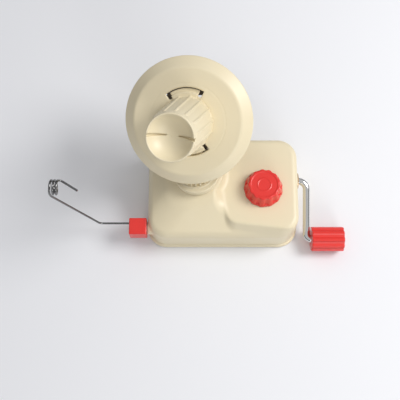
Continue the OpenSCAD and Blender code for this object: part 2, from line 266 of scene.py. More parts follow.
def moulding_group():
    """Soft blotches, uneven gloss and fine pits of a moulded or plated surface."""
    group = bpy.data.node_groups.new("surface_life", "ShaderNodeTree")
    face = group.interface
    for name, kind, value in (
            ("Color", "NodeSocketColor", (0.8, 0.8, 0.8, 1)),
            ("Shade", "NodeSocketColor", (0.7, 0.7, 0.7, 1)),
            ("Blotch Scale", "NodeSocketFloat", 40.0), ("Blotch Amount", "NodeSocketFloat", 0.3),
            ("Pit Scale", "NodeSocketFloat", 900.0), ("Roughness", "NodeSocketFloat", 0.35),
            ("Roughness Spread", "NodeSocketFloat", 0.08)):
        face.new_socket(name=name, in_out="INPUT", socket_type=kind).default_value = value
    for name, kind in (("Color", "NodeSocketColor"), ("Roughness", "NodeSocketFloat"),
                       ("Height", "NodeSocketFloat")):
        face.new_socket(name=name, in_out="OUTPUT", socket_type=kind)
    put, link = group.nodes, group.links.new
    came = put.new("NodeGroupInput")
    gone = put.new("NodeGroupOutput")
    where = put.new("ShaderNodeTexCoord")
    blotch = new_node(group, "ShaderNodeTexNoise", -400, 200, Detail=3.0, Roughness=0.55)
    pits = new_node(group, "ShaderNodeTexNoise", -400, -100, Detail=2.0, Roughness=0.5)
    smear = new_node(group, "ShaderNodeTexNoise", -400, -400, Detail=4.0, Roughness=0.6, Scale=65.0)
    for noise in (blotch, pits, smear):
        link(where.outputs["Object"], noise.inputs["Vector"])
    link(came.outputs["Blotch Scale"], blotch.inputs["Scale"])
    link(came.outputs["Pit Scale"], pits.inputs["Scale"])
    amount = new_node(group, "ShaderNodeMath", -200, 200, operation="MULTIPLY")
    link(blotch.outputs["Fac"], amount.inputs[0])
    link(came.outputs["Blotch Amount"], amount.inputs[1])
    mix = new_node(group, "ShaderNodeMix", 0, 200, data_type="RGBA")
    link(amount.outputs[0], mix.inputs[0])
    link(came.outputs["Color"], mix.inputs[6])
    link(came.outputs["Shade"], mix.inputs[7])
    link(mix.outputs[2], gone.inputs["Color"])
    centred = new_node(group, "ShaderNodeMath", -200, -400, operation="SUBTRACT")
    centred.inputs[1].default_value = 0.5
    link(smear.outputs["Fac"], centred.inputs[0])
    rough = new_node(group, "ShaderNodeMath", 0, -300, operation="MULTIPLY_ADD")
    link(centred.outputs[0], rough.inputs[0])
    link(came.outputs["Roughness Spread"], rough.inputs[1])
    link(came.outputs["Roughness"], rough.inputs[2])
    link(rough.outputs[0], gone.inputs["Roughness"])
    link(pits.outputs["Fac"], gone.inputs["Height"])
    return group


SURFACE_LIFE = moulding_group()


BLOTCH_SCALE = 40.0
PIT_DEPTH = 0.00008


def finish_material(name, color, shade, roughness, spread, bump, pit_scale=900.0,
                    blotch=0.35, metallic=0.0, coat=0.0, coat_roughness=0.1):
    """One finish: two near colours in soft blotches, uneven gloss and fine pits."""
    material = bpy.data.materials.new(name)
    material.use_nodes = True
    tree = material.node_tree
    shader = tree.nodes["Principled BSDF"]
    life = tree.nodes.new("ShaderNodeGroup")
    life.node_tree = SURFACE_LIFE
    life.location = (-500, 0)
    for socket, value in (("Color", (*color, 1)), ("Shade", (*shade, 1)),
                          ("Blotch Scale", BLOTCH_SCALE), ("Blotch Amount", blotch),
                          ("Pit Scale", pit_scale), ("Roughness", roughness),
                          ("Roughness Spread", spread)):
        life.inputs[socket].default_value = value
    relief = new_node(tree, "ShaderNodeBump", -250, -300, Strength=bump,
                      Distance=PIT_DEPTH)
    tree.links.new(life.outputs["Color"], shader.inputs["Base Color"])
    tree.links.new(life.outputs["Roughness"], shader.inputs["Roughness"])
    tree.links.new(life.outputs["Height"], relief.inputs["Height"])
    tree.links.new(relief.outputs["Normal"], shader.inputs["Normal"])
    shader.inputs["Metallic"].default_value = metallic
    shader.inputs["Coat Weight"].default_value = coat
    shader.inputs["Coat Roughness"].default_value = coat_roughness
    return material


CREAM = finish_material("cream_moulding", (0.82, 0.73, 0.52), (0.79, 0.68, 0.45), 0.42, 0.10, 0.12,
                        blotch=0.5, coat=0.12, coat_roughness=0.3)
RED = finish_material("red_moulding", (0.82, 0.035, 0.025), (0.66, 0.02, 0.018), 0.30, 0.10, 0.15,
                      blotch=0.4, coat=0.2, coat_roughness=0.2)
# Gear finish with painted shade: coloured near black so that the gears seen through the flange
# windows read as lying in shadow.
SHADE_DARKENED_NYLON = finish_material("nylon_gear_darkened_for_shade", (0.07, 0.055, 0.045), (0.11, 0.09, 0.075), 0.42, 0.10, 0.2)
CHROME = finish_material("plated_rod", (0.78, 0.78, 0.77), (0.66, 0.66, 0.65), 0.09, 0.05, 0.03,
                         metallic=1.0)
WIRE = finish_material("spring_wire", (0.22, 0.22, 0.22), (0.16, 0.16, 0.16), 0.14, 0.06, 0.08,
                       metallic=1.0)
STEEL = finish_material("drawn_steel", (0.60, 0.59, 0.57), (0.45, 0.44, 0.42), 0.24, 0.12, 0.15,
                        pit_scale=1500.0, metallic=1.0)
BRONZE = finish_material("oiled_bronze", (0.66, 0.42, 0.20), (0.50, 0.30, 0.14), 0.36, 0.15, 0.4,
                         pit_scale=1800.0, metallic=1.0)
RUBBER = finish_material("black_rubber", (0.035, 0.034, 0.033), (0.07, 0.068, 0.065), 0.72, 0.1,
                         0.5, pit_scale=1400.0)

# ---- body ----------------------------------------------------------------------------

BODY_LOW, BODY_HIGH = cad_mm("top_housing")
BODY_HALF_X = BODY_HIGH.x
BODY_HALF_Y = BODY_HIGH.y
FOOT_Z = BODY_LOW.z
FLAT_Z = 42.0
WALL = 2.4
CORNER_R = 16.0
EDGE_R = 4.6
SOFT_EDGE_R = 5.0
CRISP_EDGE_R = 1.3
FRONT_RIDGE_R = 11.0
SIDE_INSET = 0.7
DRAFT = 0.02
DRAFT_Z = 20
SKIRT_OUT = 1.3
SKIRT_Z = 5.0
SKIRT_BLEND = 0.5
COLLAR_Z = 24.0
HUMP_R = 21.4
NECK_R = 20.8
FRONT_SLOPE = (0, -0.52, 0.855)
LEFT_SLOPE = (-0.56, 0, 0.829)
LEFT_DROP = 3.4
BACK_SLOPE = (0, 0.805, 0.593)
RIGHT_SLOPE = (0.86, 0.13, 0.49)
STAGE_SIDE_SLOPE = (-0.97, 0, 0.24)
STAGE_FRONT_SLOPE = (-0.1, -0.87, 0.49)
STAGE_FRONT_AT = (34, -34.7, FLAT_Z)
SCREW_R = 3.0
SCREW_X = cad_mm("housing_screws")[1].x - SCREW_R
SCREW_Y = cad_mm("housing_screws")[1].y - SCREW_R


def housing_outside(x, y, z):
    """Sloped front with a soft ridge under the collar, and a flat stage for the knob."""
    top = SHAFT + HEAD_AXIS * COLLAR_Z
    inset = SIDE_INSET + DRAFT * np.maximum(z - DRAFT_Z, 0)
    inset = inset - SKIRT_OUT * np.clip(SKIRT_Z - z, 0, SKIRT_BLEND) / SKIRT_BLEND
    footprint = rounded_rect(x, y, BODY_HALF_X - inset, BODY_HALF_Y - inset, CORNER_R)
    front = plane(x, y, z, (0, top.y - HUMP_R, top.z), FRONT_SLOPE)
    left = plane(x, y, z, (top.x - HUMP_R, 0, top.z - LEFT_DROP), LEFT_SLOPE)
    back = plane(x, y, z, (0, top.y + HUMP_R, top.z), BACK_SLOPE)
    right = plane(x, y, z, (-1.6, -10, FLAT_Z), RIGHT_SLOPE)
    neck_x, neck_y, neck_z = into(ON_HEAD, x, y, z)
    hump = round_join(round_cut(right, back, 8.0), rod(neck_x, neck_y, NECK_R), 2.0)
    hump = round_cut(hump, neck_z - COLLAR_Z, 2.5)
    ceiling = round_join(hump, z - FLAT_Z, 4.0)
    stage_side = plane(x, y, z, (0.2, 0, FLAT_Z), STAGE_SIDE_SLOPE)
    stage_front = plane(x, y, z, STAGE_FRONT_AT, STAGE_FRONT_SLOPE)
    slopes = round_cut(front, left, FRONT_RIDGE_R)
    slopes = round_join(slopes, round_cut(stage_side, stage_front, FRONT_RIDGE_R), 1.2)
    top_edge = np.clip(SOFT_EDGE_R - 0.45 * (x + 3), CRISP_EDGE_R, SOFT_EDGE_R)
    form = round_cut(slopes, ceiling, top_edge)
    return round_cut(form, footprint, EDGE_R)


BOSS_R = 8.0
NECK_BOSS = (19.0, 23.5)
SHAFT_BOSS = (55.0, 62.0)
KNOB_BOSS_Z = 37.5
SIDE_FACE = 62.98
SHAFT_SEAT_R = 8.2
PIVOT_SEAT_R = 5.4
SCREW_BOSS_R = 4.0
SCREW_HOLE_R = 1.5
NECK_BORE_R = 6.0
SHAFT_BORE_R = 5.0
KNOB_BORE_R = 4.05
BORE_EDGE = 0.3


def housing(x, y, z):
    """The outer form made a shell, with its bosses, the seats on its sides and its bores."""
    outside = housing_outside(x, y, z)
    shell = np.maximum(outside, -(outside + WALL))
    neck = into(ON_HEAD, x, y, z)
    neck_boss = np.maximum(rod(neck[0], neck[1], BOSS_R), slab(neck[2], *NECK_BOSS))
    shell = np.minimum(shell, neck_boss)
    shaft_y, shaft_z = y - SHAFT.y, z - SHAFT.z
    shell = np.minimum(shell, np.maximum(rod(shaft_y, shaft_z, BOSS_R), slab(x, *SHAFT_BOSS)))
    corner_x = np.abs(x) - SCREW_X
    corner_y = np.abs(y) - SCREW_Y
    screw_boss = round_off(rod(corner_x, corner_y, SCREW_BOSS_R),
                           rod(corner_x, corner_y, SCREW_HOLE_R), 0.2)
    screw_boss = np.maximum(screw_boss, outside + 0.5)
    knob_x, knob_y = x - KNOB_AXIS.x, y - KNOB_AXIS.y
    knob_boss = np.maximum(rod(knob_x, knob_y, BOSS_R), slab(z, KNOB_BOSS_Z, FLAT_Z - 0.5))
    shell = np.minimum(np.minimum(shell, screw_boss), knob_boss)
    shaft_seat = np.maximum(rod(shaft_y, shaft_z, SHAFT_SEAT_R), slab(x, 61.0, SIDE_FACE))
    pivot_seat = np.maximum(rod(y - GUIDE_AXIS.y, z - GUIDE_AXIS.z, PIVOT_SEAT_R),
                            slab(x, -SIDE_FACE, -58.0))
    shell = np.minimum(np.minimum(shell, shaft_seat), pivot_seat)
    shell = round_off(shell, rod(neck[0], neck[1], NECK_BORE_R), BORE_EDGE)
    shaft_bore = np.maximum(rod(shaft_y, shaft_z, SHAFT_BORE_R), 50 - x)
    shell = round_off(shell, shaft_bore, BORE_EDGE)
    knob_bore = np.maximum(rod(knob_x, knob_y, KNOB_BORE_R), 30 - z)
    shell = round_off(shell, knob_bore, BORE_EDGE)
    return np.maximum(shell, FOOT_Z - z)


body_corner = (BODY_HALF_X + MARGIN, BODY_HALF_Y + MARGIN, BODY_HIGH.z)
body_foot = (-BODY_HALF_X - MARGIN, -BODY_HALF_Y - MARGIN, FOOT_Z)
finished(mould("housing_shell", housing, body_foot, body_corner, 0.9, IN_BODY, CREAM),
         "body", "cream_plastic", "top_housing")

# ---- bevel teeth and the toothed collar ----------------------------------------------

SUN_TEETH = 24
RING_TEETH = 48
TOOTH_FAR = 81.0
TOOTH_NEAR = 77.5
ROOT_SHARE = 0.32
TIP_SHARE = 0.22
ROOT_HALF = 0.27
TIP_HALF = 0.12


def tooth_ring(x, y, z, teeth, cone, turn):
    """Bevel teeth on a cone whose tip is the origin, Z running from the tip to the gear."""
    reach = length(x, y, z)
    polar = np.degrees(np.arctan2(length(x, y), z))
    pitch = 2 * math.pi * TOOTH_FAR * math.sin(math.radians(cone)) / teeth
    root = math.degrees(ROOT_SHARE * pitch / TOOTH_FAR)
    tip = math.degrees(TIP_SHARE * pitch / TOOTH_FAR)
    azimuth = fold(np.arctan2(y, x) - math.radians(turn), teeth)
    rise = np.clip((polar - cone + root) / (root + tip), 0, 1)
    half = pitch * (ROOT_HALF + (TIP_HALF - ROOT_HALF) * rise) * reach / TOOTH_FAR
    across = np.abs(azimuth) * length(x, y) - half
    over = np.radians(polar - cone - tip) * reach
    flat = math.cos(math.radians(cone - root))
    span = slab(z, TOOTH_NEAR * flat, TOOTH_FAR * flat)
    teeth_form = np.maximum(round_cut(across, over, 0.15), span)
    body = np.maximum(np.radians(polar - cone + 0.95 * root) * reach, span)
    return np.minimum(teeth_form, body)


def pitch_cone(own, other, angle):
    """Half angle in degrees of one bevel gear's cone, for two shafts at an angle."""
    turn = math.radians(angle)
    return math.degrees(math.atan(math.sin(turn) / (other / own + math.cos(turn))))


SUN_CONE = pitch_cone(SUN_TEETH, RING_TEETH, TILT)
RING_CONE = TILT - SUN_CONE
COLLAR_R = 20.0
COLLAR_TOP = 31.0
STEP_R = 16.4
STEP_SPAN = (30.0, 31.7)
SUN_HUB_R = 12.5
SUN_HUB_TOP = 33.0
SUN_TOP = 37
GROOVE_AT = (20.2, 25.7)
GROOVE_R = 0.55


def collar(x, y, z):
    """Stepped cap on the neck with a groove round its skirt, and the fixed teeth above it."""
    r = length(x, y)
    skirt = round_cut(r - COLLAR_R, slab(z, COLLAR_Z, COLLAR_TOP), 0.9)
    groove = length(r - GROOVE_AT[0], z - GROOVE_AT[1]) - GROOVE_R
    step = round_cut(r - STEP_R, slab(z, *STEP_SPAN), 0.4)
    hub = round_cut(r - SUN_HUB_R, slab(z, COLLAR_Z, SUN_HUB_TOP), 0.3)
    teeth = tooth_ring(x, -y, APEX_H - z, SUN_TEETH, SUN_CONE, 90.0)
    form = np.minimum(np.minimum(round_join(skirt, step, 0.3), hub), teeth)
    form = round_off(form, groove, 0.2)
    return np.maximum(form, NECK_BORE_R - r)


collar_foot = (-COLLAR_R, -COLLAR_R, COLLAR_Z)
collar_end = (COLLAR_R, COLLAR_R, SUN_TOP)
finished(mould("collar_moulding", collar, collar_foot, collar_end, 0.5, ON_HEAD, CREAM),
         "body", "cream_plastic", "collar_gear")

# ---- head arm ------------------------------------------------------------------------

HUB_R = 7.0
ARM_LOW = 37.5
ARM_HIGH = 41.9
ARM_MID = 39.7
ARM_END = (43.5, 70.5)
SLEEVE_R = 8.0
SLEEVE_LOW = -69.0
SLEEVE_HIGH = -56.2
SLEEVE_MID = 63.0
WEB_HALF_WIDTH = 6.4
WEB_WIDENS = 1.1
WEB_HALF_HEIGHT = 2.1
WEB_THICKENS = 3.6
HEAD_SHAFT_R = 3.0
BUSH_R = 5.0


def head_arm(x, y, z):
    """Web from the hub on the head shaft to the sleeve of the spool spindle."""
    sx, sy, sz = into(ON_HEAD.inverted() @ ON_SPOOL, x, y, z)
    hub = round_cut(rod(x, y, HUB_R), slab(z, ARM_LOW, ARM_HIGH), 0.6)
    sleeve = round_cut(rod(sx, sy, SLEEVE_R), slab(sz, SLEEVE_LOW, SLEEVE_HIGH), 0.6)
    sleeve_y = SLEEVE_MID * math.sin(math.radians(TILT))
    sleeve_z = APEX_H - SLEEVE_MID * math.cos(math.radians(TILT))
    along = Vector((0, sleeve_y, sleeve_z - ARM_MID))
    share = np.clip((y * along.y + (z - ARM_MID) * along.z) / along.length_squared, 0, 1)
    off_y = y - share * along.y
    off_z = z - ARM_MID - share * along.z
    height = (off_z * along.y - off_y * along.z) / along.length
    web = round_cut(np.abs(x) - (WEB_HALF_WIDTH + share * WEB_WIDENS),
                    np.abs(height) - (WEB_HALF_HEIGHT + WEB_THICKENS * share), 0.8)
    web = np.maximum(web, slab(y, 0, sleeve_y))
    form = round_join(round_join(hub, web, 1.5), sleeve, 1.5)
    keep = np.maximum(ARM_LOW - z, np.maximum(SLEEVE_LOW - sz, sz - SLEEVE_HIGH))
    form = np.maximum(form, keep)
    form = round_off(form, np.maximum(rod(x, y, HEAD_SHAFT_R), 12 - z), 0.2)
    return round_off(form, rod(sx, sy, BUSH_R), 0.2)


arm_foot = (-SLEEVE_R, -HUB_R, ARM_LOW)
finished(mould("arm_moulding", head_arm, arm_foot, (SLEEVE_R, *ARM_END), 0.55, ON_HEAD, CREAM),
         "head", "cream_plastic", "head_arm")

# ---- spool, flange and ring gear -----------------------------------------------------

SPINDLE_R = 3.0
FLANGE_Z = -48.0
PLATEAU_R = 42.3
FLANGE_R = 50.4
RIM_DROP = 6.2
FLANGE_DEPTH = 7.1
FLANGE_WALL = 1.9
LIP_H = 0.9
LIP_WALL = 2.0
FLANGE_HUB = (-7.0, -1.0)
FLANGE_RIBS = 8
RIB_LENGTH = (8.0, 40.0)
RIB_HEIGHT = (-3.6, -1.5)
LINE_SPAN = (29.6, 30.1)
LINE_DEPTH = 0.28
WINDOW_SPAN = (21.5, 26.8)
WINDOW_HALF = math.radians(34)


def flange(x, y, z):
    """Shallow dish with a flat top, a sloped rim, two curved windows and ribs beneath."""
    r = length(x, y)
    angle = np.arctan2(y, x)
    z = z - FLANGE_Z
    slope = Vector((RIM_DROP, FLANGE_R - PLATEAU_R)).normalized()
    bevel = (r - PLATEAU_R) * slope.x + z * slope.y
    outside = round_cut(z, bevel, 0.8)
    shell = round_cut(outside, -(outside + FLANGE_WALL), 0.1)
    shell = round_cut(shell, r - FLANGE_R, 0.35)
    shell = np.maximum(shell, -RIM_DROP - LIP_H - z)
    inner_side = np.maximum(FLANGE_R - LIP_WALL - r, -RIM_DROP - LIP_H - z)
    lip = round_cut(r - FLANGE_R, np.maximum(inner_side, bevel), 0.3)
    form = np.minimum(shell, lip)
    hub = round_cut(r - HUB_R, slab(z, *FLANGE_HUB), 0.4)
    form = round_join(form, hub, 0.8)
    rib = np.maximum(np.abs(fold(angle, FLANGE_RIBS)) * r - 0.6, slab(z, *RIB_HEIGHT))
    form = np.minimum(form, np.maximum(rib, slab(r, *RIB_LENGTH)))
    line = np.maximum(slab(r, *LINE_SPAN), -LINE_DEPTH - z)
    form = round_off(form, line, 0.12)
    window = (np.abs(fold(angle - math.pi / 2, 2)) - WINDOW_HALF) * r
    form = round_off(form, np.maximum(window, slab(r, *WINDOW_SPAN)), 0.25)
    return np.maximum(form, SPINDLE_R - r)


flange_foot = (-FLANGE_R, -FLANGE_R, FLANGE_Z - FLANGE_DEPTH)
flange_top = (FLANGE_R, FLANGE_R, FLANGE_Z)
finished(mould("flange_moulding", flange, flange_foot, flange_top, 0.62, ON_SPOOL, CREAM),
         "spool", "cream_plastic", "flange_disc")

SPOOL_LEN = 72.0
SPOOL_R = 20.0
SPOOL_END_R = 17.3
SPOOL_WALL = 2.0
ROOF_H = 12.2
RIBS = 14
RIB_HALF = 0.9
RIB_RISE = 0.75
RIB_STOP = 7.5
POCKET_Z = 4.0
POCKET_HALF = (1.7, 1.6, 0.9)
DISH_R = 18.0
DISH_CENTRE = 8.0
SLIT_TURN = math.radians(10)
SLIT_HALF = 0.3
NOTCH_H = 3.2
PIN_R = 0.8
HOOK_HALF = math.radians(27)
HOOK_IN = 21.8
HOOK_OUT = 23.2
HOOK_DROP = 3.8
BARB_R = 25.9
SOCKET_H = 28.0
SPOOL_REACH = 26


def spool_slits(x, y, z, dish):
    """Yarn slit across the dished end, and the flared notches where it meets the rim."""
    r = length(x, y)
    across = np.abs(y * math.cos(SLIT_TURN) + x * math.sin(SLIT_TURN))
    slit = across - SLIT_HALF - 0.07 * np.maximum(r - 4.0, 0)
    slit = np.maximum(slit, np.maximum(dish - 2.0, 4.0 - r))
    notch_z = SPOOL_LEN - NOTCH_H
    notch = across - 0.15 - 0.3 * np.maximum(z - notch_z, 0)
    return slit, np.maximum(notch, np.maximum(notch_z - z, 12.0 - r))


def spool_hooks(r, angle, z):
    """Two barbed legs that snap into the windows of the flange."""
    foot = np.maximum(round_cut(r - HOOK_OUT, slab(z, 0.02, 1.1), 0.3), 19.0 - r)
    leg = np.maximum(slab(r, HOOK_IN, HOOK_OUT), slab(z, -HOOK_DROP, 0.6))
    barb = round_cut(slab(r, HOOK_IN, BARB_R), slab(z, -3.4, -1.9), 0.3)
    hook_side = (np.abs(fold(angle - math.pi / 2, 2)) - HOOK_HALF) * r
    return np.maximum(np.minimum(np.minimum(foot, leg), barb), hook_side)


def spool(x, y, z):
    """Tapered ribbed drum, hollow below, with a dished and slit end."""
    z = z - FLANGE_Z
    r = length(x, y)
    angle = np.arctan2(y, x)
    taper = (SPOOL_R - SPOOL_END_R) / SPOOL_LEN
    radius = SPOOL_R - taper * z
    skin = round_cut(r - radius, z - SPOOL_LEN, 0.7)
    across = np.abs(fold(angle, RIBS)) * r
    rib = round_cut(across - RIB_HALF, r - radius - RIB_RISE, 0.5)
    rib = round_cut(rib, z - (SPOOL_LEN - RIB_STOP), 0.5)
    skin = round_join(skin, rib, 0.6)
    root = np.abs(fold(angle + math.pi / RIBS, RIBS)) * r
    pocket = block(root, z - POCKET_Z, r - radius, POCKET_HALF, 0.5)
    skin = round_off(skin, pocket, 0.3)
    core = np.maximum(r - (radius - SPOOL_WALL), z - (SPOOL_LEN - ROOF_H))
    core = np.maximum(core, HUB_R - r)
    form = np.maximum(skin, -core)
    dish = length(x, y, z - SPOOL_LEN - DISH_CENTRE) - DISH_R
    form = round_off(form, dish, 0.45)
    slit, notch = spool_slits(x, y, z, dish)
    form = round_off(form, slit, 0.1)
    form = round_off(form, notch, 0.1)
    pin = np.maximum(r - PIN_R, np.maximum(dish - 0.5, -0.25 - dish))
    form = np.maximum(np.minimum(form, pin), -z)
    bore = np.maximum(r - SPINDLE_R, z - SOCKET_H)
    return np.maximum(np.minimum(form, spool_hooks(r, angle, z)), -bore)


spool_foot = (-SPOOL_REACH, -SPOOL_REACH, FLANGE_Z - HOOK_DROP)
spool_end = (SPOOL_REACH, SPOOL_REACH, FLANGE_Z + SPOOL_LEN)
finished(mould("spool_moulding", spool, spool_foot, spool_end, 0.58, ON_SPOOL, CREAM),
         "spool", "cream_plastic", "winding_spool")

RING_R = 29.6
RING_INNER_R = 22.0
RING_PLATE_R = 25.5
PLATE_SPAN = (74.2, 75.7)
RING_HUB = (70.0, 77.0)
RING_HOLES = 6
HOLES_AT = 15.0
RING_HOLE_R = 4.2


def ring_gear(x, y, z):
    """Toothed ring on a plate with round holes and a hub, walking on the collar's teeth."""
    r = length(x, y)
    half_tooth = 180 / RING_TEETH
    ring = tooth_ring(x, y, z, RING_TEETH, RING_CONE, -90.0 + half_tooth)
    plate = np.maximum(r - RING_PLATE_R, slab(z, *PLATE_SPAN))
    holes = length(r - HOLES_AT, fold(np.arctan2(y, x), RING_HOLES) * HOLES_AT) - RING_HOLE_R
    plate = round_off(plate, holes, 0.2)
    hub = round_cut(r - HUB_R, slab(z, *RING_HUB), 0.4)
    form = np.minimum(np.minimum(np.maximum(ring, RING_INNER_R - r), plate), hub)
    return np.maximum(form, SPINDLE_R - r)


UPSIDE_DOWN = Matrix.Rotation(math.pi, 4, "X")
ring_foot = (-RING_R, -RING_R, RING_HUB[0])
ring_end = (RING_R, RING_R, RING_HUB[1])
# The ring gear under the flange windows takes the shade-darkened nylon, so the windows show painted
# shade.
finished(mould("spool_gear_wheel", ring_gear, ring_foot, ring_end, 0.5,
               ON_SPOOL @ UPSIDE_DOWN, SHADE_DARKENED_NYLON),
         "spool", "black_nylon", "planet_gear")

# ---- clamp knob and grip -------------------------------------------------------------

KNOB_LOW, KNOB_HIGH = cad_mm("clamp_knob")
KNOB_BASE = axis_frame(Vector((KNOB_AXIS.x, KNOB_AXIS.y, KNOB_LOW.z)), (0, 0, 1), (1, 0, 0))
KNOB_H = KNOB_HIGH.z - KNOB_LOW.z
KNOB_R = 16.0
KNOB_LEAN = 0.27
KNOB_RIM_H = 2.4
KNOB_FLUTES = 13
KNOB_FLUTE_AT = 17.3
KNOB_FLUTE_LEAN = 0.22
KNOB_FLUTE_R = 2.6
FACE_R = 11.0
FACE_EDGE_R = 10.6
FACE_DEPTH = 0.4
RINGS_FROM = 6.0
RING_STEP = 1.5
RING_RISE = 0.07
RIDGE_AT = 5.4
RIDGE_R = 0.55
STUD_R = 4.0
STUD_H = 8.0


def knob(x, y, z):
    """Fluted cone on a round rim, with fine rings and a raised bead on its sunk face."""
    r = length(x, y)
    cone = (r - KNOB_R + KNOB_LEAN * z) / math.hypot(1, KNOB_LEAN)
    across = np.abs(fold(np.arctan2(y, x), KNOB_FLUTES)) * r
    flute = length(r + KNOB_FLUTE_LEAN * z - KNOB_FLUTE_AT, across) - KNOB_FLUTE_R
    side = round_off(cone, flute, 0.6)
    side = round_join(side, np.maximum(cone + 0.25, z - KNOB_RIM_H), 0.8)
    form = round_cut(side, z - KNOB_H, 0.9)
    form = np.maximum(form, -z)
    form = round_off(form, round_cut(r - FACE_EDGE_R, KNOB_H - FACE_DEPTH - z, 0.1), 0.3)
    waves = RING_RISE * np.cos(2 * math.pi * (r - 6.2) / RING_STEP)
    waves = waves * np.clip((r - RINGS_FROM) / 0.5, 0, 1)
    face = np.maximum(r - FACE_R, slab(z, KNOB_H - 3, KNOB_H - 0.42 + waves))
    face = np.maximum(face, cone + 1.0)
    form = np.minimum(form, face)
    ridge = length(r - RIDGE_AT, z - KNOB_H + 0.6) - RIDGE_R
    form = round_join(form, ridge, 0.3)
    bore = np.maximum(r - STUD_R, z - STUD_H)
    return np.maximum(form, -bore)


knob_end = (KNOB_R, KNOB_R, KNOB_H)
finished(mould("clamp_knob_moulding", knob, (-KNOB_R, -KNOB_R, 0), knob_end, 0.36,
               KNOB_BASE, RED),
         "knob", "red_plastic", "clamp_knob")

GRIP_LOW, GRIP_HIGH = cad_mm("handle_grip")
GRIP_LEN = GRIP_HIGH.x - GRIP_LOW.x
GRIP_R = 10.4
GRIP_FLUTES = 10
GRIP_FLUTE_OUT = 0.9
GRIP_FLUTE_R = 2.2
CUP_R = 5.3
CUP_DEPTH = 3.9
GRIP_BORE_R = 3.05
ON_GRIP = axis_frame(Vector((GRIP_LOW.x, GRIP_AXIS.y, GRIP_AXIS.z)), (1, 0, 0), (0, 0, 1))


def grip(x, y, z):
    """Fluted barrel, bored for the rod, with a cup for the cap at its outer end."""
    r = length(x, y)
    barrel = round_cut(r - GRIP_R, slab(z, 0, GRIP_LEN), 0.45)
    across = np.abs(fold(np.arctan2(y, x), GRIP_FLUTES)) * r
    flute = length(r - GRIP_R - GRIP_FLUTE_OUT, across) - GRIP_FLUTE_R
    form = round_off(barrel, flute, 0.35)
    form = round_off(form, np.maximum(r - CUP_R, GRIP_LEN - CUP_DEPTH - z), 0.4)
    return round_off(form, r - GRIP_BORE_R, 0.2)


grip_end = (GRIP_R, GRIP_R, GRIP_LEN)
finished(mould("grip_moulding", grip, (-GRIP_R, -GRIP_R, 0), grip_end, 0.36, ON_GRIP, RED),
         "grip", "red_plastic", "handle_grip")

# ---- rod and wire --------------------------------------------------------------------


def bent(points, bends, steps=10):
    """Straight runs between points, with each inner corner rounded to its bend radius."""
    route = [Vector(points[0])]
    for before, corner, after, radius in zip(points, points[1:], points[2:], bends):
        corner = Vector(corner)
        a = (Vector(before) - corner).normalized()
        b = (Vector(after) - corner).normalized()
        half = a.angle(b) / 2
        middle = corner + (a + b).normalized() * radius / math.sin(half)
        start = corner + a * radius / math.tan(half) - middle
        end = corner + b * radius / math.tan(half) - middle
        turn = start.angle(end)
        for i in range(steps + 1):
            share = i / steps
            arm = start * math.sin((1 - share) * turn) + end * math.sin(share * turn)
            route.append(middle + arm / math.sin(turn))
    route.append(Vector(points[-1]))
    return route


def tube(name, route, diameter, material, sides=8):
    """Round bar along a route, closed at both ends."""
    curve = bpy.data.curves.new(name, "CURVE")
    curve.dimensions = "3D"
    curve.bevel_depth = diameter / 2 * MM
    curve.bevel_resolution = sides
    curve.use_fill_caps = True
    line = curve.splines.new("POLY")
    line.points.add(len(route) - 1)
    for point, place in zip(line.points, route):
        point.co = (*(Vector(place) * MM), 1)
    line.use_smooth = True
    holder = bpy.data.objects.new(name, curve)
    bpy.context.collection.objects.link(holder)
    bpy.context.view_layer.update()
    seen = holder.evaluated_get(bpy.context.evaluated_depsgraph_get())
    made = bpy.data.meshes.new_from_object(seen)
    bpy.data.objects.remove(holder)
    piece = bpy.data.objects.new(name, made)
    bpy.context.collection.objects.link(piece)
    made.materials.clear()
    made.materials.append(material)
    made.polygons.foreach_set("use_smooth", [len(f.vertices) < 5 for f in made.polygons])
    return piece


ROD_LOW, ROD_HIGH = cad_mm("crank_rod")
ROD_D = 6.0
ROD_BENDS = (7.0, 4.0)
ARM_X = 71.2
crank_route = bent(
    [(ROD_LOW.x, SHAFT.y, SHAFT.z), (ARM_X, SHAFT.y, SHAFT.z), (ARM_X, GRIP_AXIS.y, GRIP_AXIS.z),
     (ROD_HIGH.x, GRIP_AXIS.y, GRIP_AXIS.z)], ROD_BENDS, steps=16)
finished(tube("crank_bar", crank_route, ROD_D, CHROME, sides=12), "crank", "chrome", "crank_rod")

WIRE_D = 1.7
WIRE_Y = -27.2
COIL_R = 5.2
COIL_X = -129.6
COIL_Y = WIRE_Y + COIL_R
COIL_Z = 104.0
COIL_TURNS = 2.4
COIL_PITCH = WIRE_D + 0.7
TURN_STEPS = 40
WIRE_RISE = 2.0
WIRE_Z = GUIDE_AXIS.z + WIRE_RISE
WIRE_BEND_X = -102.6
WIRE_BEND_R = 4.0


def coil_point(step):
    """Place on the coil after a number of small steps round it."""
    angle = 2 * math.pi * step / TURN_STEPS
    return Vector((COIL_X + step / TURN_STEPS * COIL_PITCH, COIL_Y - COIL_R * math.cos(angle),
                   COIL_Z + COIL_R * math.sin(angle)))


foot = bent([(GUIDE_AXIS.x - 12, WIRE_Y, WIRE_Z), (WIRE_BEND_X, WIRE_Y, WIRE_Z),
             (COIL_X, WIRE_Y, COIL_Z - 5)], [WIRE_BEND_R])
coil = [coil_point(step) for step in range(int(COIL_TURNS * TURN_STEPS) + 1)]
hook_top = Vector((COIL_X + 8, COIL_Y + COIL_R - 0.6, COIL_Z + 1.4))
hook_end = Vector((COIL_X + 20.5, COIL_Y - 3, COIL_Z + 1))
hook = [hook_top, hook_top + Vector((2, -1, -0.4)), hook_end]
finished(tube("guide_spring_wire", foot + coil + hook, WIRE_D, WIRE, sides=5),
         "guide", "steel", "guide_wire")

BLOCK_LOW, BLOCK_HIGH = cad_mm("guide_block")
BLOCK_MID = (BLOCK_LOW + BLOCK_HIGH) / 2
BLOCK_HALF = (BLOCK_HIGH - BLOCK_LOW) / 2
BLOCK_SPREAD = 0.3
BLOCK_EDGE_R = 0.9
WIRE_SOCKET_R = 0.95
PIVOT_BORE_R = 2.05


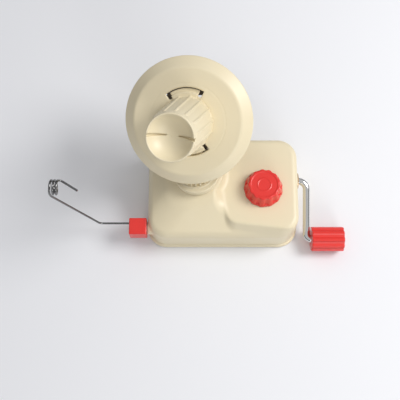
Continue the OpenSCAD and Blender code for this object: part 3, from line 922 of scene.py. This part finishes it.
def guide_block(x, y, z):
    """Small block with a socket for the wire on one side and for the pivot on the other."""
    half = BLOCK_HALF + Vector((BLOCK_SPREAD, 0, 0))
    form = block(x - BLOCK_SPREAD, y, z, half, BLOCK_EDGE_R)
    socket = rod(y - (WIRE_Y - BLOCK_MID.y), z - WIRE_RISE, WIRE_SOCKET_R)
    form = round_off(form, np.maximum(socket, x + 2.5), BORE_EDGE)
    pivot = np.maximum(rod(y, z, PIVOT_BORE_R), -x - 2.2)
    return round_off(form, pivot, BORE_EDGE)


block_end = BLOCK_HALF + Vector((MARGIN, 0, 0))
finished(mould("guide_block_moulding", guide_block, -BLOCK_HALF, block_end, 0.36,
               Matrix.Translation(BLOCK_MID), RED),
         "guide", "red_plastic", "guide_block")

# ---- screws and pads under the base, set out by one node tree ------------------------


def four_places_tree():
    """Puts a copy of the incoming part at each corner of a rectangle."""
    tree = bpy.data.node_groups.new("four_places", "GeometryNodeTree")
    face = tree.interface
    face.new_socket(name="Part", in_out="INPUT", socket_type="NodeSocketGeometry")
    for name, value in (("Spacing X", 0.1), ("Spacing Y", 0.05), ("Height", 0.0)):
        socket = face.new_socket(name=name, in_out="INPUT", socket_type="NodeSocketFloat")
        socket.default_value = value
    face.new_socket(name="Material", in_out="INPUT", socket_type="NodeSocketMaterial")
    face.new_socket(name="Copies", in_out="OUTPUT", socket_type="NodeSocketGeometry")
    put, link = tree.nodes, tree.links.new
    came = put.new("NodeGroupInput")
    gone = put.new("NodeGroupOutput")
    corners = put.new("GeometryNodeMeshGrid")
    corners.inputs["Vertices X"].default_value = 2
    corners.inputs["Vertices Y"].default_value = 2
    lift = put.new("ShaderNodeCombineXYZ")
    raised = put.new("GeometryNodeTransform")
    copies = put.new("GeometryNodeInstanceOnPoints")
    real = put.new("GeometryNodeRealizeInstances")
    finish = put.new("GeometryNodeSetMaterial")
    link(came.outputs["Spacing X"], corners.inputs["Size X"])
    link(came.outputs["Spacing Y"], corners.inputs["Size Y"])
    link(came.outputs["Height"], lift.inputs["Z"])
    link(corners.outputs["Mesh"], raised.inputs["Geometry"])
    link(lift.outputs["Vector"], raised.inputs["Translation"])
    link(raised.outputs["Geometry"], copies.inputs["Points"])
    link(came.outputs["Part"], copies.inputs["Instance"])
    link(copies.outputs["Instances"], real.inputs["Geometry"])
    link(real.outputs["Geometry"], finish.inputs["Geometry"])
    link(came.outputs["Material"], finish.inputs["Material"])
    link(finish.outputs["Geometry"], gone.inputs["Copies"])
    return tree


FOUR_PLACES = four_places_tree()


def at_four_places(part, spacing, height, material):
    """Runs the node tree on a part and keeps the result as a plain mesh."""
    step = part.modifiers.new("copies", "NODES")
    step.node_group = FOUR_PLACES
    inputs = {item.name: item.identifier for item in FOUR_PLACES.interface.items_tree
              if item.in_out == "INPUT"}
    step[inputs["Spacing X"]] = spacing[0] * MM
    step[inputs["Spacing Y"]] = spacing[1] * MM
    step[inputs["Height"]] = height * MM
    step[inputs["Material"]] = material
    bpy.context.view_layer.update()
    seen = part.evaluated_get(bpy.context.evaluated_depsgraph_get())
    made = bpy.data.meshes.new_from_object(seen)
    part.modifiers.clear()
    part.data = made
    return part


SCREW_HEAD_H = 1.8
SCREW_LEN = 12.0
SHANK_R = 1.5
CROSS_HALF = 0.35
CROSS_REACH = 1.6
CROSS_DEPTH = 1.0
PAD_R = 5.9
PAD_H = 1.2
PAD_GROOVE_AT = 3.6
PAD_GROOVE_R = 0.35


def screw(x, y, z):
    """Pan-head screw seen from below: head down, cross recess, shank up."""
    r = length(x, y)
    head = round_cut(r - SCREW_R, slab(z, 0.0, SCREW_HEAD_H), 0.6)
    shank = np.maximum(r - SHANK_R, slab(z, 1.0, SCREW_LEN))
    cross = np.minimum(np.maximum(np.abs(x) - CROSS_HALF, np.abs(y) - CROSS_REACH),
                       np.maximum(np.abs(y) - CROSS_HALF, np.abs(x) - CROSS_REACH))
    cross = np.maximum(cross, z - CROSS_DEPTH)
    return round_off(np.minimum(head, shank), cross, 0.1)


def pad(x, y, z):
    """Thin round foot with a groove in its underside."""
    r = length(x, y)
    form = round_cut(r - PAD_R, slab(z, 0.0, PAD_H), 0.35)
    return round_off(form, length(r - PAD_GROOVE_AT, z) - PAD_GROOVE_R, 0.1)


def spacing_of(node, radius):
    """Distances between the four round pieces of a CAD node, and their lowest height."""
    low, high = cad_mm(node)
    return (high.x - low.x - 2 * radius, high.y - low.y - 2 * radius), low.z


screw_spacing, screw_z = spacing_of("housing_screws", SCREW_R)
pad_spacing, pad_z = spacing_of("rubber_pads", PAD_R)
screw_end = (SCREW_R, SCREW_R, SCREW_LEN)
one_screw = mould("base_screws", screw, (-SCREW_R, -SCREW_R, 0), screw_end, 0.22, IN_BODY, STEEL)
finished(at_four_places(one_screw, screw_spacing, screw_z, STEEL),
         "body", "steel", "housing_screws")
pad_end = (PAD_R, PAD_R, PAD_H)
one_pad = mould("base_pads", pad, (-PAD_R, -PAD_R, 0), pad_end, 0.3, IN_BODY, RUBBER)
finished(at_four_places(one_pad, pad_spacing, pad_z, RUBBER), "body", "rubber", "rubber_pads")

# ---- finishes of the pieces that stay as they are ------------------------------------

FINISH = {
    "base_plate": CREAM, "jaw_pad": RUBBER,
    "outer_shaft_bush": BRONZE, "inner_shaft_bush": BRONZE, "lower_neck_bush": BRONZE,
    "upper_neck_bush": BRONZE, "spindle_bush": BRONZE, "guide_pivot": STEEL, "guide_washer": STEEL,
    "crank_gear": SHADE_DARKENED_NYLON, "head_pinion": SHADE_DARKENED_NYLON, "shaft_collar": STEEL, "grip_cap": STEEL,
    "head_shaft": STEEL, "thrust_washer": STEEL, "spool_spindle": STEEL, "clamp_screw": STEEL,
    "screw_clip": STEEL, "clamp_bracket": STEEL}
for name, material in FINISH.items():
    node = frame["nodes"][name]
    node.data.materials.clear()
    node.data.materials.append(material)

# ---- floor, light and camera ---------------------------------------------------------


FLOOR_REACH = 6.0
LIT_POINT = Vector((0, 0, 0.05))
ELEVATION = math.radians(73.0)
CAMERA_DISTANCE = 0.666
FOCUS = Vector((-0.019, 0, 0))
SENSOR = 36.0
FOCAL_LENGTH = 68.4


def floor_material():
    """Plain matt studio floor."""
    material = bpy.data.materials.new("pale_floor")
    material.use_nodes = True
    shader = material.node_tree.nodes["Principled BSDF"]
    shader.inputs["Base Color"].default_value = (0.86, 0.87, 0.90, 1)
    shader.inputs["Roughness"].default_value = 0.75
    shader.inputs["Specular IOR Level"].default_value = 0.2
    return material


def add_floor():
    """Flat square under the object."""
    corners = [(-1, -1), (1, -1), (1, 1), (-1, 1)]
    mesh = bpy.data.meshes.new("floor")
    mesh.from_pydata([(x * FLOOR_REACH, y * FLOOR_REACH, 0) for x, y in corners],
                     [], [(0, 1, 2, 3)])
    mesh.materials.append(floor_material())
    floor = bpy.data.objects.new("floor", mesh)
    bpy.context.collection.objects.link(floor)


def soft_light(name, place, size, power, color):
    """Round area light turned towards the object."""
    data = bpy.data.lights.new(name, "AREA")
    data.shape = "DISK"
    data.size = size
    data.energy = power
    data.color = color
    light = bpy.data.objects.new(name, data)
    light.location = place
    aim = LIT_POINT - light.location
    light.rotation_euler = aim.to_track_quat("-Z", "Y").to_euler()
    bpy.context.collection.objects.link(light)


def add_world(strength, horizon_share, color):
    """Sky that is brightest overhead and dims towards the horizon."""
    world = bpy.data.worlds.new("studio")
    world.use_nodes = True
    tree = world.node_tree
    background = tree.nodes["Background"]
    background.inputs["Color"].default_value = (*color, 1)
    where = tree.nodes.new("ShaderNodeTexCoord")
    split = tree.nodes.new("ShaderNodeSeparateXYZ")
    dim = tree.nodes.new("ShaderNodeMapRange")
    dim.inputs["From Min"].default_value = 0.3
    dim.inputs["From Max"].default_value = 0.48
    dim.inputs["To Min"].default_value = strength * horizon_share
    dim.inputs["To Max"].default_value = strength
    tree.links.new(where.outputs["Generated"], split.inputs["Vector"])
    tree.links.new(split.outputs["Z"], dim.inputs["Value"])
    tree.links.new(dim.outputs["Result"], background.inputs["Strength"])
    bpy.context.scene.world = world


def add_camera():
    """Camera high in front of the object, looking down at it."""
    back = Vector((0, -math.cos(ELEVATION), math.sin(ELEVATION)))
    data = bpy.data.cameras.new("camera")
    data.sensor_width = SENSOR
    data.lens = FOCAL_LENGTH
    camera = bpy.data.objects.new("camera", data)
    camera.location = FOCUS + back * CAMERA_DISTANCE
    camera.rotation_euler = back.to_track_quat("Z", "Y").to_euler()
    bpy.context.collection.objects.link(camera)
    bpy.context.scene.camera = camera


add_floor()
add_world(strength=0.57, horizon_share=0.06, color=(0.985, 0.985, 1.0))
soft_light("window_right", (0.68, 0.1, 0.82), 0.5, 6.5, (1.0, 0.99, 0.98))
soft_light("fill_front", (0.35, -0.95, 0.45), 0.5, 2.6, (1.0, 1.0, 1.0))
add_camera()
bpy.context.scene.view_settings.view_transform = "Standard"
